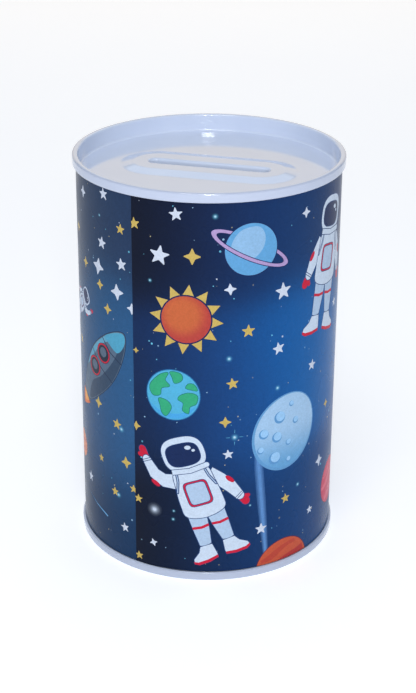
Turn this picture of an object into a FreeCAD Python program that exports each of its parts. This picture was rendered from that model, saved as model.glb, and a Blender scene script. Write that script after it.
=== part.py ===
import FreeCAD, Part
import Sketcher
import math
import os

# A sealed tin money box: a rolled can body closed by a slotted top end and a plain bottom end, both
# double seamed on, with a printed wrap glued round the body.
# Millimetres. The origin is the centre of the ring the box stands on, +Z is up and +X runs along the slot.

SIZES = (
    # word, value, what it is
    ("can_height", 155.0, "overall height, base ring to top rim"),
    ("body_radius", 49.3, "outside radius of the rolled body"),
    ("sheet_metal", 0.3, "thickness of the tinplate"),
    ("chuck_gap", 0.05, "clearance between an end's inner wall and the body"),
    ("top_gap", 0.2, "space between the folded layers of the top seam"),
    ("bottom_gap", 0.1, "space between the folded layers of the bottom seam"),
    ("top_seam_height", 3.7, "height of the top seam"),
    ("bottom_seam_height", 3.4, "height of the bottom seam"),
    ("rim_bend", 0.6, "radius of the rim's corners at mid sheet"),
    ("compound_room", 0.3, "space for sealing compound between the rim and the body's fold"),
    ("recess_depth", 6.65, "rim to the top panel"),
    ("recess_bend", 0.95, "radius between the recess wall and the panel at mid sheet"),
    ("lean_bend", 6.0, "radius at mid sheet where the recess wall starts to lean"),
    ("base_depth", 5.2, "base ring to the bottom panel"),
    ("base_bend", 1.4, "radius between the countersink and the bottom panel at mid sheet"),
    ("bead_radius", 1.8, "radius of the bottom panel's round beads at mid sheet"),
    ("bead_margin", 6.0, "flat outside the first bead"),
    ("bead_spacing", 12.0, "flat between the two beads"),
    ("pad_length", 68.0, "length of the raised pad at its foot"),
    ("pad_width", 29.0, "width of the raised pad at its foot"),
    ("pad_rise", 0.9, "height of the raised pad"),
    ("pad_slope", 5.0, "how far the pad's sides lean in"),
    ("pad_foot_round", 8.0, "round at the foot of the pad"),
    ("pad_brow_round", 6.0, "round at the top edge of the pad"),
    ("slot_length", 46.0, "clear length of the coin slot"),
    ("slot_width", 5.0, "clear width of the coin slot"),
    ("lip_drop", 3.0, "pad top to the lower edge of the slot's lips"),
    ("lip_round", 0.8, "round under the turned lip"),
    ("weld_width", 1.4, "width of the body's side weld"),
    ("weld_rise", 0.1, "how far the side weld stands in from the body"),
    ("wrap_thickness", 0.16, "thickness of the printed wrap"),
    ("wrap_clearance", 0.06, "glue line under the wrap"),
    ("wrap_edge_gap", 0.12, "wrap edge to the seam next to it"),
    ("wrap_overlap", 9.0, "how far the wrap laps over its first edge"),
    ("wrap_turn", -98.6, "direction of the wrap's first edge, in degrees from the slot"),
    ("glue_width", 6.0, "width of each strip of adhesive"),
    ("glue_thickness", 0.04, "thickness of each strip of adhesive"),
    ("compound_thickness", 0.12, "thickness of the sealing compound"),
)

JOGGLE_DEGREES = 6.0      # how sharply the wrap steps up on to its own first edge
BEAD_DEGREES = 45.0       # half the turn of each bead in the bottom panel
LEAN_DEGREES = 3.0        # how far the recess wall leans in below the seam
GLUE_INSET_DEGREES = 1.0  # first edge of the wrap to the first edge of the adhesive
FULL_TURN = 360.0


class Size:
    """A measure worked out from the sheet: its value now and the expression that keeps it up to date."""

    def __init__(self, value, text):
        self.value = value
        self.text = text

    def join(self, other, sign, value):
        words = other.text if isinstance(other, Size) else repr(float(other))
        return Size(value, "(%s %s %s)" % (self.text, sign, words))

    def __add__(self, other):
        return self.join(other, "+", self.value + plain(other))

    def __sub__(self, other):
        return self.join(other, "-", self.value - plain(other))

    def __mul__(self, other):
        return self.join(other, "*", self.value * plain(other))

    def __truediv__(self, other):
        return self.join(other, "/", self.value / plain(other))


def plain(measure):
    return measure.value if isinstance(measure, Size) else float(measure)


def write_sheet(doc):
    sheet = doc.addObject("Spreadsheet::Sheet", "Sizes")
    sizes = {}
    for row, (word, value, _) in enumerate(SIZES, start=1):
        cell = "A%d" % row
        sheet.set(cell, str(value))
        sheet.setAlias(cell, word)
        sizes[word] = Size(value, "Sizes.%s" % word)
    doc.recompute()
    return sizes


# ---- bodies and sketches ----------------------------------------------------------------------

def new_body(doc, name):
    body = doc.addObject("PartDesign::Body", name)
    body.Label = name
    return body


def origin_plane(body, role):
    return next(item for item in body.Origin.OriginFeatures if item.Role == role)


def new_sketch(body, name, role, lift=None):
    """A sketch on one of the body's own planes, lifted off it by a measure from the sheet."""
    sketch = body.newObject("Sketcher::SketchObject", name)
    sketch.AttachmentSupport = [(origin_plane(body, role), "")]
    sketch.MapMode = "FlatFace"
    if lift is not None:
        sketch.setExpression(".AttachmentOffset.Base.z", lift.text)
    return sketch


def pin(sketch, geometry, point, axis, measure):
    """Holds one coordinate of a point at a measure from the sheet."""
    kind = "DistanceX" if axis == 0 else "DistanceY"
    number = sketch.addConstraint(Sketcher.Constraint(kind, -1, 1, geometry, point, measure.value))
    sketch.setExpression("Constraints[%d]" % number, measure.text)


def pin_to_axis(sketch, geometry, point, axis):
    """Holds a point on the sketch's own vertical (axis 0) or horizontal (axis 1) axis."""
    sketch.addConstraint(Sketcher.Constraint("PointOnObject", geometry, point, -2 if axis == 0 else -1))


def pin_point(sketch, geometry, point, place):
    for axis in (0, 1):
        if place[axis].value == 0.0:
            pin_to_axis(sketch, geometry, point, axis)
        else:
            pin(sketch, geometry, point, axis, place[axis])


def vector(place):
    return FreeCAD.Vector(place[0].value, place[1].value, 0.0)


# ---- bent strip ---------------------------------------------------------------------------------

def step(place, direction, length):
    """A place one straight run further on, with its direction in degrees."""
    across = round(math.cos(math.radians(direction)), 12)
    up = round(math.sin(math.radians(direction)), 12)
    moved = []
    for start, share in zip(place, (across, up)):
        moved.append(start if share == 0.0 else start + length * share)
    return tuple(moved)


class Edge:
    """One side of a strip of sheet: a straight run, or an arc about a centre."""

    def __init__(self, start, end, centre=None, turn=0.0):
        self.start = start
        self.end = end
        self.centre = centre
        self.turn = turn

    def reversed(self):
        return Edge(self.end, self.start, self.centre, -self.turn)

    def curve(self):
        start = vector(self.start)
        end = vector(self.end)
        if self.centre is None:
            return Part.LineSegment(start, end)
        centre = vector(self.centre)
        middle_turn = FreeCAD.Rotation(FreeCAD.Vector(0, 0, 1), self.turn / 2.0)
        middle = centre + middle_turn.multVec(start - centre)
        return Part.Arc(start, middle, end)


def strip_sides(place, direction, moves, thickness):
    """The outline of a strip bent along straight runs and bends, as a closed list of edges.

    A move is ("run", length) or ("bend", radius at mid sheet, degrees), left turns positive.
    """
    half = thickness / 2.0
    left = []
    right = []
    for move in moves:
        left_start = step(place, direction + 90.0, half)
        right_start = step(place, direction - 90.0, half)
        centre = None
        turn = 0.0
        if move[0] == "run":
            place = step(place, direction, move[1])
        else:
            turn = move[2]
            side = math.copysign(90.0, turn)
            centre = step(place, direction + side, move[1])
            place = step(centre, direction - side + turn, move[1])
            direction += turn
        left.append(Edge(left_start, step(place, direction + 90.0, half), centre, turn))
        right.append(Edge(right_start, step(place, direction - 90.0, half), centre, turn))
    tip = Edge(left[-1].end, right[-1].end)
    tail = Edge(right[0].start, left[0].start)
    return left + [tip] + [edge.reversed() for edge in reversed(right)] + [tail]


def draw_outline(sketch, edges):
    """Draws a closed outline with every corner and every arc's centre held by the sheet."""
    curves = [edge.curve() for edge in edges]
    first = sketch.GeometryCount
    sketch.addGeometry(curves, False)
    joints = []
    ends = []
    for index, edge in enumerate(edges):
        # An arc is stored anticlockwise, so one that turns clockwise starts at its second end.
        clockwise = edge.centre is not None and edge.turn < 0.0
        ends.append((2, 1) if clockwise else (1, 2))
    for index in range(len(edges)):
        following = (index + 1) % len(edges)
        joints.append(Sketcher.Constraint(
            "Coincident", first + index, ends[index][1], first + following, ends[following][0]))
    sketch.addConstraint(joints)
    for index, edge in enumerate(edges):
        pin_point(sketch, first + index, ends[index][0], edge.start)
        if edge.centre is not None:
            chord = vector(edge.end) - vector(edge.start)
            free_axis = 0 if abs(chord.y) >= abs(chord.x) else 1
            if edge.centre[free_axis].value == 0.0:
                pin_to_axis(sketch, first + index, 3, free_axis)
            else:
                pin(sketch, first + index, 3, free_axis, edge.centre[free_axis])


def revolve(body, name, sketch):
    turned = body.newObject("PartDesign::Revolution", name)
    turned.Profile = sketch
    turned.ReferenceAxis = (sketch, ["V_Axis"])
    turned.Angle = FULL_TURN
    return turned


# ---- features -------------------------------------------------------------------------------------

def pad(body, name, sketch, length, reverse=False, taper=None):
    raised = body.newObject("PartDesign::Pad", name)
    raised.Profile = sketch
    raised.setExpression("Length", length.text)
    raised.Reversed = reverse
    if taper is not None:
        raised.setExpression("TaperAngle", taper)
    return raised


def pocket(body, name, sketch, length, reverse=False, taper=None):
    cut = body.newObject("PartDesign::Pocket", name)
    cut.Profile = sketch
    cut.setExpression("Length", length.text)
    cut.Reversed = reverse
    if taper is not None:
        cut.setExpression("TaperAngle", taper)
    return cut


def draw_obround(sketch, length, width):
    """A round-ended slot shape along X, centred on the sketch's origin."""
    half_width = width / 2.0
    centre_x = (length - width) / 2.0
    zero = Size(0.0, "0.0")
    right = (centre_x, zero)
    left = (centre_x * -1.0, zero)
    corners = [(left[0], half_width), (left[0], half_width * -1.0),
               (right[0], half_width * -1.0), (right[0], half_width)]
    draw_outline(sketch, [
        Edge(corners[0], corners[1], left, 180.0),
        Edge(corners[1], corners[2]),
        Edge(corners[2], corners[3], right, 180.0),
        Edge(corners[3], corners[0]),
    ])


def edges_at(shape, height, length, width):
    """Names of the edges that lie at one height on an obround of this length and width."""
    names = []
    for number, edge in enumerate(shape.Edges, start=1):
        box = edge.BoundBox
        if abs(box.ZMin - height) > 0.01 or abs(box.ZMax - height) > 0.01:
            continue
        reach = max(abs(box.YMin), abs(box.YMax))
        along = max(abs(box.XMin), abs(box.XMax))
        if abs(reach - width / 2.0) < 0.02 and along < length / 2.0 + 0.02:
            names.append("Edge%d" % number)
    return names


def fillet(doc, body, name, base, height, length, width, radius):
    doc.recompute()
    names = edges_at(base.Shape, height.value, length.value, width.value)
    rounded = body.newObject("PartDesign::Fillet", name)
    rounded.Base = (base, names)
    rounded.setExpression("Radius", radius.text)
    doc.recompute()
    if not names or not rounded.Shape.isValid():
        raise RuntimeError("%s found %d edges and did not build" % (name, len(names)))
    return rounded


# ---- seams ------------------------------------------------------------------------------------------

def seam_layers(size, gap):
    """Mid-sheet radii of a double seam's five layers, from the inside out."""
    sheet = size["sheet_metal"]
    chuck_wall = size["body_radius"] - sheet * 1.5 - size["chuck_gap"]
    body_wall = size["body_radius"] - sheet / 2.0
    end_hook = body_wall + sheet + gap
    body_hook = end_hook + sheet + gap
    outer_wall = body_hook + sheet + gap
    return {"chuck_wall": chuck_wall, "body_wall": body_wall, "end_hook": end_hook,
            "body_hook": body_hook, "outer_wall": outer_wall}


def body_fold(size, layers):
    """Radius of the fold in the body's flange, and the height of its centre in from the rim."""
    radius = (layers["body_hook"] - layers["body_wall"]) / 2.0
    return radius, size["sheet_metal"] * 1.5 + size["compound_room"] + radius


def end_fold(size, layers, seam_height):
    """Radius of the fold at the seam's inner end, and the height of its centre in from the rim."""
    radius = (layers["outer_wall"] - layers["end_hook"]) / 2.0
    return radius, seam_height - size["sheet_metal"] / 2.0 - radius


def end_seam_moves(size, layers, seam_height):
    """The seamed edge of an end, from the tip of its hook, over the rim and on to the inner wall."""
    half_sheet = size["sheet_metal"] / 2.0
    rim = size["rim_bend"]
    fold, fold_height = end_fold(size, layers, seam_height)
    hook_tip = body_fold(size, layers)[1]
    start = (layers["end_hook"], hook_tip)
    moves = [
        ("run", fold_height - hook_tip),
        ("bend", fold, -180.0),
        ("run", fold_height - rim - half_sheet),
        ("bend", rim, -90.0),
        ("run", layers["outer_wall"] - layers["chuck_wall"] - rim * 2.0),
        ("bend", rim, -90.0),
    ]
    return start, moves


# ---- the pieces -----------------------------------------------------------------------------------

def make_tin_body(doc, size):
    """The rolled body with its two flanges folded into the seams and its side weld."""
    body = new_body(doc, "tin_body")
    top = seam_layers(size, size["top_gap"])
    bottom = seam_layers(size, size["bottom_gap"])
    low_fold, low_height = body_fold(size, bottom)
    high_fold, high_height = body_fold(size, top)
    low_tip = end_fold(size, bottom, size["bottom_seam_height"])[1]
    high_tip = end_fold(size, top, size["top_seam_height"])[1]
    outline = new_sketch(body, "body_outline", "XZ_Plane")
    draw_outline(outline, strip_sides(
        (bottom["body_hook"], low_tip), -90.0,
        [
            ("run", low_tip - low_height),
            ("bend", low_fold, -180.0),
            ("run", size["can_height"] - low_height - high_height),
            ("bend", high_fold, -180.0),
            ("run", high_tip - high_height),
        ],
        size["sheet_metal"]))
    revolve(body, "rolled_body", outline)
    weld = new_sketch(body, "weld_outline", "XY_Plane", size["top_seam_height"] * 2.5)
    inside = size["body_radius"] - size["sheet_metal"]
    half = size["weld_width"] / 2.0
    near = (inside + size["sheet_metal"] / 2.0) * -1.0
    far = (inside - size["weld_rise"]) * -1.0
    corners = [(near, half * -1.0), (far, half * -1.0), (far, half), (near, half)]
    draw_outline(weld, [Edge(corners[n], corners[(n + 1) % 4]) for n in range(4)])
    pad(body, "side_weld", weld, size["can_height"] - size["top_seam_height"] * 5.0)
    return body


def leaning_wall_moves(size, drop):
    """The recess wall from where it starts to lean to the flat panel, and how far in the panel starts."""
    lean = math.radians(LEAN_DEGREES)
    start = size["lean_bend"]
    foot = size["recess_bend"]
    length = (drop - start * math.sin(lean) - foot * (1.0 - math.sin(lean))) / math.cos(lean)
    inset = start * (1.0 - math.cos(lean)) + length * math.sin(lean) + foot * math.cos(lean)
    moves = [
        ("bend", start, LEAN_DEGREES),
        ("run", length),
        ("bend", foot, 90.0 - LEAN_DEGREES),
    ]
    return moves, inset


def make_top_end(doc, size):
    """The slotted end, drawn rim down with the inside of the box upwards and turned over when placed."""
    body = new_body(doc, "top_end")
    layers = seam_layers(size, size["top_gap"])
    sheet = size["sheet_metal"]
    start, moves = end_seam_moves(size, layers, size["top_seam_height"])
    wall_moves, foot_inset = leaning_wall_moves(size, size["recess_depth"] - size["top_seam_height"])
    moves.append(("run", size["top_seam_height"] - size["rim_bend"]))
    moves.extend(wall_moves)
    moves.append(("run", layers["chuck_wall"] - foot_inset))
    outline = new_sketch(body, "end_outline", "XZ_Plane")
    draw_outline(outline, to_axis(strip_sides(start, 90.0, moves, sheet)))
    revolve(body, "pressed_end", outline)

    lean = "atan(Sizes.pad_slope / Sizes.pad_rise)"
    slope = math.atan2(plain(size["pad_rise"]), plain(size["pad_slope"]))
    pad_top = size["recess_depth"] - size["pad_rise"]
    pad_under = pad_top + sheet
    under_inset = sheet * (2.0 * math.tan(slope / 2.0))
    top_length = size["pad_length"] - size["pad_slope"] * 2.0
    top_width = size["pad_width"] - size["pad_slope"] * 2.0
    under_length = size["pad_length"] - under_inset
    under_width = size["pad_width"] - under_inset

    raised = new_sketch(body, "pad_outline", "XY_Plane", size["recess_depth"])
    draw_obround(raised, size["pad_length"], size["pad_width"])
    pad(body, "raised_pad", raised, size["pad_rise"], True, "-" + lean)
    hollow = new_sketch(body, "pad_hollow_outline", "XY_Plane", size["recess_depth"] + sheet)
    draw_obround(hollow, under_length, under_width)
    pocket(body, "pad_hollow", hollow, size["pad_rise"], False, "-" + lean)

    lips = new_sketch(body, "lip_outline", "XY_Plane", pad_under)
    lip_length = size["slot_length"] + sheet * 2.0
    lip_width = size["slot_width"] + sheet * 2.0
    draw_obround(lips, lip_length, lip_width)
    pad(body, "turned_lips", lips, size["lip_drop"] - sheet)
    slot = new_sketch(body, "slot_outline", "XY_Plane", pad_top + size["lip_drop"])
    draw_obround(slot, size["slot_length"], size["slot_width"])
    cut = pocket(body, "coin_slot", slot, size["lip_drop"] * 2.0)

    last = fillet(doc, body, "lip_underside", cut, pad_under, lip_length, lip_width, size["lip_round"])
    last = fillet(doc, body, "lip_entry", last, pad_top, size["slot_length"], size["slot_width"],
                  size["lip_round"] + sheet)
    last = fillet(doc, body, "pad_foot", last, size["recess_depth"], size["pad_length"],
                  size["pad_width"], size["pad_foot_round"])
    last = fillet(doc, body, "pad_foot_underside", last, size["recess_depth"] + sheet, under_length,
                  under_width, size["pad_foot_round"] + sheet)
    last = fillet(doc, body, "pad_brow", last, pad_top, top_length, top_width, size["pad_brow_round"])
    fillet(doc, body, "pad_brow_underside", last, pad_under, under_length - size["pad_slope"] * 2.0,
           under_width - size["pad_slope"] * 2.0, size["pad_brow_round"] - sheet)
    turn_over(body, size)
    return body


def to_axis(edges):
    """Puts the ends of a strip that reach the middle of a panel exactly on the axis."""
    zero = Size(0.0, "0.0")
    for edge in edges:
        for end in ("start", "end"):
            place = getattr(edge, end)
            if abs(place[0].value) < 1e-6:
                setattr(edge, end, (zero, place[1]))
    return edges


def make_bottom_end(doc, size):
    """The plain end: the seam it stands on, a countersunk wall and a panel with two round beads."""
    body = new_body(doc, "bottom_end")
    layers = seam_layers(size, size["bottom_gap"])
    sheet = size["sheet_metal"]
    start, moves = end_seam_moves(size, layers, size["bottom_seam_height"])
    bend = size["base_bend"]
    bead = size["bead_radius"]
    panel = size["base_depth"] + sheet / 2.0
    bead_reach = bead * (4.0 * math.sin(math.radians(BEAD_DEGREES)))
    one_bead = [("bend", bead, -BEAD_DEGREES), ("bend", bead, BEAD_DEGREES * 2.0), ("bend", bead, -BEAD_DEGREES)]
    moves.append(("run", panel - bend - size["rim_bend"] - sheet / 2.0))
    moves.append(("bend", bend, 90.0))
    moves.append(("run", size["bead_margin"]))
    moves.extend(one_bead)
    moves.append(("run", size["bead_spacing"]))
    moves.extend(one_bead)
    used = bend + size["bead_margin"] + size["bead_spacing"] + bead_reach * 2.0
    moves.append(("run", layers["chuck_wall"] - used))
    outline = new_sketch(body, "end_outline", "XZ_Plane")
    draw_outline(outline, to_axis(strip_sides(start, 90.0, moves, sheet)))
    revolve(body, "pressed_end", outline)
    return body


def make_compound(doc, size, name, gap_word):
    """A thin ring of sealing compound over the body's folded flange, in an end's own frame."""
    body = new_body(doc, name)
    layers = seam_layers(size, size[gap_word])
    middle = (layers["chuck_wall"] + layers["outer_wall"]) / 2.0
    thick = size["compound_thickness"]
    sheet = size["sheet_metal"]
    half = sheet * 1.2
    low = sheet + (size["compound_room"] - thick) / 2.0
    corners = [(middle - half, low), (middle + half, low),
               (middle + half, low + thick), (middle - half, low + thick)]
    outline = new_sketch(body, "compound_outline", "XZ_Plane")
    draw_outline(outline, [Edge(corners[n], corners[(n + 1) % 4]) for n in range(4)])
    revolve(body, "compound_ring", outline)
    return body


def wrap_radius(size):
    """Radius of the wrap at the middle of its thickness."""
    return size["body_radius"] + size["wrap_clearance"] + size["wrap_thickness"] / 2.0


def wrap_foot(size):
    return size["bottom_seam_height"] + size["wrap_edge_gap"]


def wrap_height(size):
    return size["can_height"] - size["top_seam_height"] - size["wrap_edge_gap"] - wrap_foot(size)


def arc_degrees(length, radius):
    return math.degrees(length.value / radius.value)


def make_printed_wrap(doc, size):
    """One sheet wrapped once round the body, its last edge lapped over its first."""
    body = new_body(doc, "printed_wrap")
    radius = wrap_radius(size)
    rise = size["wrap_thickness"] + size["wrap_clearance"]
    joggle = rise / (2.0 * (1.0 - math.cos(math.radians(JOGGLE_DEGREES))))
    joggle_degrees = math.degrees(2.0 * joggle.value * math.sin(math.radians(JOGGLE_DEGREES)) / radius.value)
    lap_degrees = arc_degrees(size["wrap_overlap"], radius)
    plain_degrees = FULL_TURN - joggle_degrees - 1.0
    outline = new_sketch(body, "wrap_outline", "XY_Plane", wrap_foot(size))
    zero = Size(0.0, "0.0")
    draw_outline(outline, strip_sides(
        (radius, zero), -90.0,
        [
            ("bend", radius, -plain_degrees),
            ("bend", joggle, JOGGLE_DEGREES),
            ("bend", joggle, -JOGGLE_DEGREES - joggle_degrees),
            ("bend", radius + rise, -lap_degrees),
        ],
        size["wrap_thickness"]))
    pad(body, "wrapped_sheet", outline, wrap_height(size))
    body.setExpression(".Placement.Rotation.Angle", size["wrap_turn"].text)
    return body


def make_glue(doc, size, name, surface):
    """A strip of adhesive as tall as the wrap, lying just clear of the surface under it."""
    body = new_body(doc, name)
    radius = surface + size["wrap_clearance"] / 2.0
    outline = new_sketch(body, "glue_outline", "XY_Plane", wrap_foot(size) + size["wrap_edge_gap"])
    draw_outline(outline, strip_sides(
        (radius, Size(0.0, "0.0")), -90.0,
        [("bend", radius, -arc_degrees(size["glue_width"], radius))],
        size["glue_thickness"]))
    pad(body, "glue_strip", outline, wrap_height(size) - size["wrap_edge_gap"] * 2.0)
    body.setExpression(".Placement.Rotation.Angle", (size["wrap_turn"] - GLUE_INSET_DEGREES).text)
    return body


def make_glues(doc, size):
    """The strip that starts the wrap on the tin, and the strip that closes it over itself."""
    first_layer = size["body_radius"] + size["wrap_clearance"] + size["wrap_thickness"]
    return [
        make_glue(doc, size, "wrap_start_glue", size["body_radius"]),
        make_glue(doc, size, "wrap_overlap_glue", first_layer),
    ]


def turn_over(body, size):
    """Turns a piece drawn in the bottom end's frame over on to the top of the can."""
    body.Placement.Rotation = FreeCAD.Rotation(FreeCAD.Vector(1, 0, 0), 180.0)
    body.setExpression(".Placement.Base.z", size["can_height"].text)


def check(doc, parts):
    for item in doc.Objects:
        if "Invalid" in item.State or "Error" in item.State:
            raise RuntimeError("%s is %s" % (item.Name, item.State))
    for part in parts:
        shape = part.Shape
        if shape.isNull() or not shape.isValid() or len(shape.Solids) != 1:
            raise RuntimeError("%s is not one valid solid" % part.Label)


def main():
    doc = FreeCAD.newDocument("tin_money_box")
    size = write_sheet(doc)
    parts = [
        make_tin_body(doc, size),
        make_top_end(doc, size),
        make_bottom_end(doc, size),
        make_compound(doc, size, "bottom_seam_compound", "bottom_gap"),
        make_compound(doc, size, "top_seam_compound", "top_gap"),
        make_printed_wrap(doc, size),
    ]
    turn_over(doc.getObject("top_seam_compound"), size)
    parts.extend(make_glues(doc, size))
    doc.recompute()
    check(doc, parts)
    os.makedirs("parts", exist_ok=True)
    for part in parts:
        part.Shape.exportStep("parts/%s.step" % part.Label)
        print(part.Label, part.Shape.BoundBox, round(part.Shape.Volume, 2))


main()
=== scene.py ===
import math
import random
from collections import namedtuple
from math import cos, pi, radians, sin, tau

import bpy
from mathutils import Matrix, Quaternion, Vector, noise
from mathutils.geometry import delaunay_2d_cdt


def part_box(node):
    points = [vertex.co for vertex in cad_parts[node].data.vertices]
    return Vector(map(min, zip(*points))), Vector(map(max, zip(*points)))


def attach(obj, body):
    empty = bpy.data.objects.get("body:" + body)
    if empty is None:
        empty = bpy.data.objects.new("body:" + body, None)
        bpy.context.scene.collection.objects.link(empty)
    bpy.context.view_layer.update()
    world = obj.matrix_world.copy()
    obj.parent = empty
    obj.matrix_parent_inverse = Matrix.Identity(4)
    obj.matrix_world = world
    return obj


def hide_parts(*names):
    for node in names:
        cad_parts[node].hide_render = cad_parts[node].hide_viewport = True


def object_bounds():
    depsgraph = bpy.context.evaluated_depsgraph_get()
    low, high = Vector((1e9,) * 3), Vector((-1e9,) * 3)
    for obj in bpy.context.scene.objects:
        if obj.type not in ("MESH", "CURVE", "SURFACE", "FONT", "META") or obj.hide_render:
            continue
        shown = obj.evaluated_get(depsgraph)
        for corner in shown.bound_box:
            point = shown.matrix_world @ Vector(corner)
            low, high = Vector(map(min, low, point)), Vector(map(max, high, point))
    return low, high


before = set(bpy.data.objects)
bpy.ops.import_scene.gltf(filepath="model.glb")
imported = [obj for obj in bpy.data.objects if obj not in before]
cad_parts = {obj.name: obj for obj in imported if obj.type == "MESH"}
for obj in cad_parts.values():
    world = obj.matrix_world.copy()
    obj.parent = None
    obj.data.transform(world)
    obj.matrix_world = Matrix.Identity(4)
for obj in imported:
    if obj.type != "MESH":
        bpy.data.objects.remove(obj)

# A sealed tin money box: white lacquered ends seamed on to a tin body, and a glossy printed wrap.
# The scene is in metres. The picture is laid out flat first, in millimetres of height above the base
# and degrees round the tin from the middle of the picture, to the right as a viewer sees it.

MM = 0.001
CAD_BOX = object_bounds()
CAN_HEIGHT = CAD_BOX[1].z
WRAP_LOW, WRAP_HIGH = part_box("printed_wrap")
LID_LOW, LID_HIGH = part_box("top_end")
LID_RADIUS = LID_HIGH.x
BASE_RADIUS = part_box("bottom_end")[1].x

PICTURE_AZIMUTH = 15.0     # the picture's middle, and the camera, as degrees from -Y towards +X
TIN = 0.3 * MM             # thickness of the tinplate
ROUND_STEPS = 8            # facets in a quarter turn of a bend


def direction_to(azimuth, elevation):
    """Direction from the tin towards a place, by its angle from the picture's middle and its height."""
    turn = radians(PICTURE_AZIMUTH + azimuth)
    rise = radians(elevation)
    return Vector((sin(turn) * cos(rise), -cos(turn) * cos(rise), sin(rise)))


def linear(channel):
    """A screen colour's channel, 0 to 255, as light."""
    share = channel / 255.0
    return share / 12.92 if share <= 0.04045 else ((share + 0.055) / 1.055) ** 2.4


def paint(red, green, blue):
    return (linear(red), linear(green), linear(blue))


def mix(first, second, share):
    return tuple(a + (b - a) * share for a, b in zip(first, second))


def smooth_step(value, low, high):
    share = min(1.0, max(0.0, (value - low) / (high - low)))
    return share * share * (3.0 - 2.0 * share)


# ---- node materials ----

class Nodes:
    """A material's node tree, with a short call for each kind of node used here."""

    def __init__(self, name):
        self.material = bpy.data.materials.new(name)
        self.material.use_nodes = True
        self.tree = self.material.node_tree
        self.place = self.add("TexCoord").outputs["Object"]

    def feed(self, socket, value):
        """Gives a socket a colour, a plain number or another node's output."""
        if isinstance(value, tuple):
            socket.default_value = (*value, 1.0)
        elif isinstance(value, (int, float)):
            socket.default_value = value
        else:
            self.tree.links.new(value, socket)

    def fill(self, node, values):
        for name, value in values.items():
            self.feed(node.inputs[name.replace("_", " ").title().replace("Ior", "IOR")], value)

    def add(self, kind, **values):
        node = self.tree.nodes.new("ShaderNode" + kind)
        self.fill(node, values)
        return node

    def set(self, **values):
        self.fill(self.tree.nodes["Principled BSDF"], values)

    def stretched(self, scale):
        mapping = self.add("Mapping", vector=self.place)
        mapping.inputs["Scale"].default_value = scale
        return mapping.outputs["Vector"]

    def noise(self, scale, detail=3.0, roughness=0.5, vector=None):
        texture = self.add("TexNoise", scale=scale, detail=detail, roughness=roughness,
                           vector=vector or self.place)
        return texture.outputs["Fac"]

    def cells(self, scale):
        return self.add("TexVoronoi", scale=scale, vector=self.place).outputs["Distance"]

    def spread(self, source, from_low, from_high, to_low, to_high):
        ranged = self.add("MapRange", from_min=from_low, from_max=from_high, to_min=to_low, to_max=to_high,
                          value=source)
        return ranged.outputs["Result"]

    def maths(self, operation, first, second=0.0):
        node = self.add("Math")
        node.operation = operation
        for socket, value in zip(node.inputs, (first, second)):
            self.feed(socket, value)
        return node.outputs["Value"]

    def blend(self, factor, first, second, kind="MIX"):
        node = self.add("Mix")
        node.data_type = "RGBA"
        node.blend_type = kind
        self.feed(node.inputs["Factor"], factor)
        sockets = [socket for socket in node.inputs if socket.type == "RGBA"]
        for socket, value in zip(sockets, (first, second)):
            self.feed(socket, value)
        return next(socket for socket in node.outputs if socket.type == "RGBA")

    def along(self, axis):
        return self.add("SeparateXYZ", vector=self.place).outputs[axis]

    def from_axis(self):
        across = self.maths("POWER", self.along("X"), 2.0)
        deep = self.maths("POWER", self.along("Y"), 2.0)
        return self.maths("SQRT", self.maths("ADD", across, deep))

    def bump(self, source, strength, distance, before=None):
        node = self.add("Bump", strength=strength, distance=distance, height=source)
        if before is not None:
            self.feed(node.inputs["Normal"], before)
        return node.outputs["Normal"]


def white_lacquer(name, rim_shade_paint, worn_height, worn_reach):
    """Gloss white lacquer with orange peel and a rubbed edge, and painted shade darkening the seam's
    outside.
    """
    made = Nodes(name)
    tone = made.spread(made.noise(55.0), 0.3, 0.7, 0.0, 1.0)
    clean = made.blend(tone, paint(210, 221, 243), paint(216, 226, 246))
    # Painted shade: near the outer radius the seam's outer face is darkened towards rim_shade_paint,
    # standing in for less light falling there.
    rim_shade = made.spread(made.from_axis(), LID_RADIUS - 0.9 * MM, LID_RADIUS - 0.4 * MM, 0.0, 1.0)
    coat = made.blend(rim_shade, clean, rim_shade_paint)
    from_edge = made.maths("ABSOLUTE", made.maths("SUBTRACT", made.along("Z"), worn_height))
    near_edge = made.spread(from_edge, 0.0, worn_reach, 1.0, 0.0)
    specks = made.spread(made.noise(900.0, 5.0, 0.7), 0.66, 0.74, 0.0, 1.0)
    rubbed = made.maths("MULTIPLY", near_edge, specks)
    colour = made.blend(made.maths("MULTIPLY", rubbed, 0.5), coat, paint(150, 152, 160))
    smear = made.spread(made.noise(140.0, 4.0, 0.6), 0.3, 0.75, 0.08, 0.13)
    rough = made.maths("ADD", smear, made.maths("MULTIPLY", rubbed, 0.2))
    waves = made.bump(made.noise(38.0, 2.0), 0.05, 0.3 * MM)
    peel = made.bump(made.noise(1500.0, 2.0), 0.03, 0.02 * MM, waves)
    made.set(base_color=colour, roughness=rough, normal=peel, ior=1.5, coat_weight=0.35,
             coat_roughness=0.06)
    return made.material


def tinplate(name):
    """Bright rolled tin, drawn out into fine streaks round the can."""
    made = Nodes(name)
    streaks = made.noise(260.0, 6.0, 0.7, made.stretched((0.15, 0.15, 6.0)))
    tone = made.spread(streaks, 0.3, 0.7, 0.0, 1.0)
    colour = made.blend(tone, paint(188, 190, 194), paint(214, 215, 218))
    rough = made.spread(streaks, 0.3, 0.7, 0.24, 0.4)
    made.set(base_color=colour, metallic=1.0, roughness=rough, normal=made.bump(streaks, 0.1, 0.05 * MM))
    return made.material


def soft_filler(name, scale, dark, light, smoothest, roughest, lumpiness):
    made = Nodes(name)
    lumps = made.noise(scale, 4.0, 0.6)
    made.set(base_color=made.blend(lumps, dark, light), normal=made.bump(lumps, lumpiness, 0.05 * MM),
             roughness=made.spread(lumps, 0.3, 0.7, smoothest, roughest))
    return made.material


def seam_compound(name):
    """Matt rubbery lining, slightly lumpy."""
    return soft_filler(name, 700.0, paint(168, 170, 160), paint(196, 196, 186), 0.7, 0.9, 0.4)


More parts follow.
